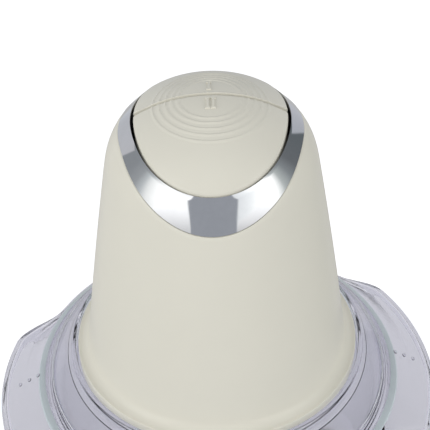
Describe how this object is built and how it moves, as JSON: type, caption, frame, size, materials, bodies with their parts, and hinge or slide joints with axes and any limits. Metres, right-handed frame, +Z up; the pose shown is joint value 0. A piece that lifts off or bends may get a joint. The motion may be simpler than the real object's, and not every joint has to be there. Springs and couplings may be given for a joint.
{
  "type": "food processor",
  "caption": "Push-top food processor: a clear bowl and lid with a tapered motor unit standing on the lid, a two-part press button and stacked blades.",
  "frame": {"origin": "middle of the underside of the anti-slip base, on the axis of the bowl and the motor", "axes": "+Z up along the motor axis, -Y to the front of the motor unit, +X to the right"},
  "size_m": [0.1782, 0.1506, 0.2255],
  "materials": {
    "cream_plastic": "glossy moulded, cream",
    "chrome": "bright chrome plate",
    "clear_plastic": "clear, faint violet tint",
    "base_rubber": "matt, light grey",
    "seal_rubber": "translucent white silicone",
    "steel": "fine brushed",
    "screw_steel": "zinc plated",
    "black_plastic": "matt black",
    "grey_plastic": "light grey moulded",
    "white_plastic": "natural white nylon",
    "lamination_steel": "stacked electrical steel",
    "copper": "enamelled copper wire",
    "bronze": "sintered bronze",
    "carbon": "carbon brush"
  },
  "bodies": {
    "bowl": {"bowl": "clear_plastic", "spindle_pin": "steel", "anti_slip_base": "base_rubber"},
    "lid": {"lid": "clear_plastic", "lid_seal": "seal_rubber"},
    "motor_unit": {"housing": "cream_plastic", "chrome_ring": "chrome", "button_bezel": "black_plastic", "base_plate": "grey_plastic", "cord_gland": "black_plastic", "base_screw_1": "screw_steel", "base_screw_2": "screw_steel", "base_screw_3": "screw_steel", "base_screw_4": "screw_steel", "frame_screw_1": "screw_steel", "frame_screw_2": "screw_steel", "frame_screw_3": "screw_steel", "deck_screw_1": "screw_steel", "deck_screw_2": "screw_steel", "motor_bolt_1": "screw_steel", "motor_bolt_2": "screw_steel", "microswitch_1": "black_plastic", "microswitch_2": "black_plastic", "switch_deck": "grey_plastic", "gear_case": "white_plastic", "motor_plate": "grey_plastic", "lower_bush": "bronze", "upper_bracket": "steel", "upper_bush": "bronze", "stator_core": "lamination_steel", "field_coil_rear": "copper", "field_coil_front": "copper", "brush_holder_1": "bronze", "brush_holder_2": "bronze", "brush_1": "carbon", "brush_2": "carbon"},
    "button_1": {"button_1": "cream_plastic", "return_spring_1": "steel"},
    "button_2": {"button_2": "cream_plastic", "return_spring_2": "steel"},
    "plunger_1": {"switch_plunger_1": "white_plastic"},
    "plunger_2": {"switch_plunger_2": "white_plastic"},
    "rotor": {"motor_shaft": "steel", "armature_core": "lamination_steel", "armature_winding": "copper", "commutator": "copper", "cooling_fan": "black_plastic", "sun_pinion": "steel"},
    "carrier": {"planet_carrier": "steel", "drive_coupling": "black_plastic"},
    "planet_1": {"planet_gear_1": "white_plastic"},
    "planet_2": {"planet_gear_2": "white_plastic"},
    "planet_3": {"planet_gear_3": "white_plastic"},
    "blade_unit": {"blade_hub": "white_plastic", "blade_lower": "steel", "blade_upper": "steel"}
  },
  "joints": [
    {"name": "lid_lift", "type": "slide", "parent": "bowl", "child": "lid", "axis": [0, 0, 1], "range_m": [0, 0.06]},
    {"name": "motor_lift", "type": "slide", "parent": "lid", "child": "motor_unit", "axis": [0, 0, 1], "range_m": [0, 0.04]},
    {"name": "button_1_press", "type": "slide", "parent": "motor_unit", "child": "button_1", "axis": [0, 0, -1], "range_m": [0, 0.003], "stiffness_N_per_m": 600, "springref_m": -0.003, "deforming": ["return_spring_1"]},
    {"name": "button_2_press", "type": "slide", "parent": "motor_unit", "child": "button_2", "axis": [0, 0, -1], "range_m": [0, 0.003], "stiffness_N_per_m": 600, "springref_m": -0.003, "deforming": ["return_spring_2"]},
    {"name": "plunger_1_travel", "type": "slide", "parent": "motor_unit", "child": "plunger_1", "axis": [0, 0, -1], "range_m": [0, 0.0012]},
    {"name": "plunger_2_travel", "type": "slide", "parent": "motor_unit", "child": "plunger_2", "axis": [0, 0, -1], "range_m": [0, 0.0012]},
    {"name": "carrier_spin", "type": "hinge", "parent": "motor_unit", "child": "carrier", "pos_m": [0, 0, 0.11], "axis": [0, 0, 1], "continuous": true},
    {"name": "rotor_spin", "type": "hinge", "parent": "motor_unit", "child": "rotor", "pos_m": [0, 0, 0.15], "axis": [0, 0, 1], "continuous": true},
    {"name": "planet_1_spin", "type": "hinge", "parent": "carrier", "child": "planet_1", "pos_m": [0.0135, 0, 0.116], "axis": [0, 0, 1], "continuous": true},
    {"name": "planet_2_spin", "type": "hinge", "parent": "carrier", "child": "planet_2", "pos_m": [-0.00675, 0.01169, 0.116], "axis": [0, 0, 1], "continuous": true},
    {"name": "planet_3_spin", "type": "hinge", "parent": "carrier", "child": "planet_3", "pos_m": [-0.00675, -0.01169, 0.116], "axis": [0, 0, 1], "continuous": true},
    {"name": "blade_spin", "type": "hinge", "parent": "bowl", "child": "blade_unit", "pos_m": [0, 0, 0.05], "axis": [0, 0, 1], "continuous": true}
  ],
  "couplings": [
    {"joint": "plunger_1_travel", "follows": "button_1_press", "ratio": 0.4},
    {"joint": "plunger_2_travel", "follows": "button_2_press", "ratio": 0.4},
    {"joint": "rotor_spin", "follows": "carrier_spin", "ratio": 5},
    {"joint": "planet_1_spin", "follows": "carrier_spin", "ratio": -2.6667},
    {"joint": "planet_2_spin", "follows": "carrier_spin", "ratio": -2.6667},
    {"joint": "planet_3_spin", "follows": "carrier_spin", "ratio": -2.6667},
    {"joint": "blade_spin", "follows": "carrier_spin", "ratio": 1}
  ]
}
